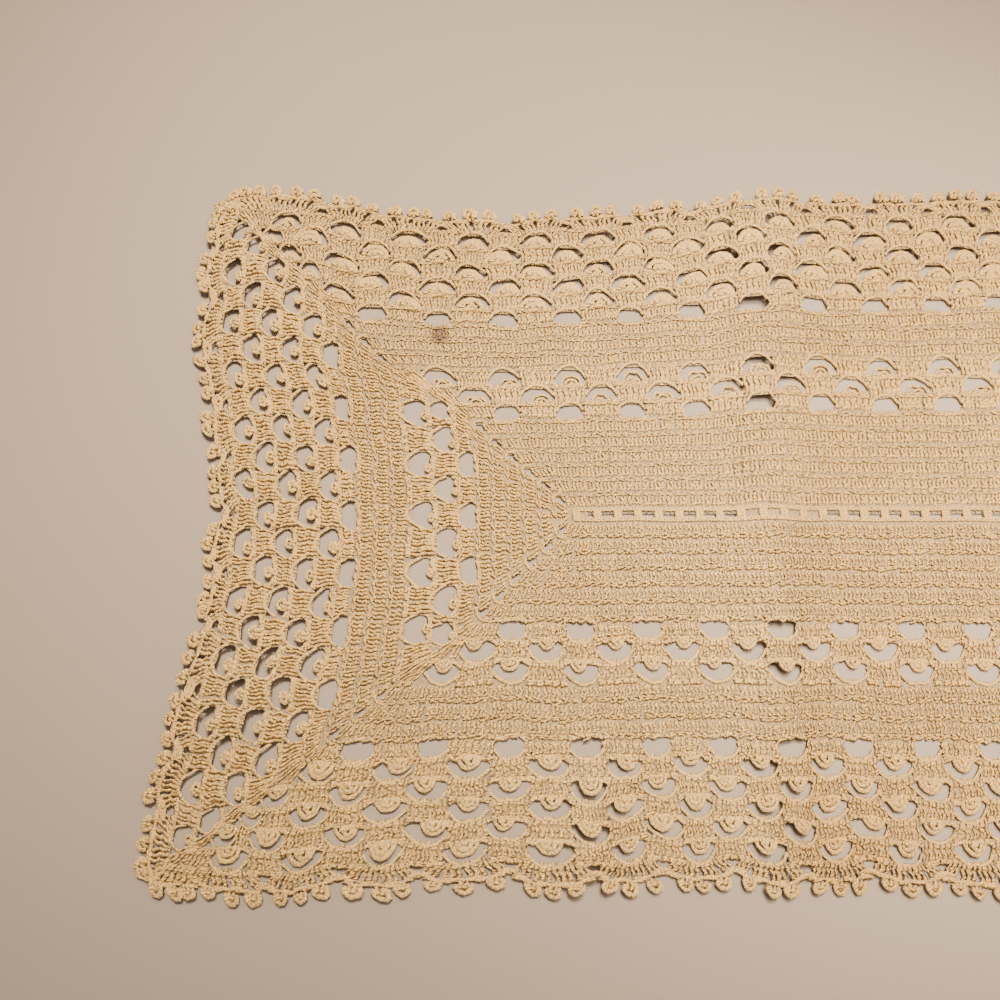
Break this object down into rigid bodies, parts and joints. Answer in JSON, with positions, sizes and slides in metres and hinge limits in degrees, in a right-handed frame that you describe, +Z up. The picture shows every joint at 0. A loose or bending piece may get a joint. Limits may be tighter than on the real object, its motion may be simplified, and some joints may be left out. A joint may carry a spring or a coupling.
{
  "type": "crochet doily",
  "caption": "Oblong crochet lace doily in cream cotton thread, with solid bands, eyelet slots, open shell bands and a picot edge, to lie flat under a vase or dish.",
  "frame": {"origin": "on the surface the doily lies on, under the middle of its bounding box", "axes": "+X along the doily's length, +Y across it, +Z up from the surface"},
  "size_m": [0.5539, 0.2281, 0.0044],
  "materials": {
    "cotton_thread": "matte, twisted cotton thread, cream aged to beige in patches"
  },
  "bodies": {
    "root": {"doily": "cotton_thread"}
  },
  "joints": []
}
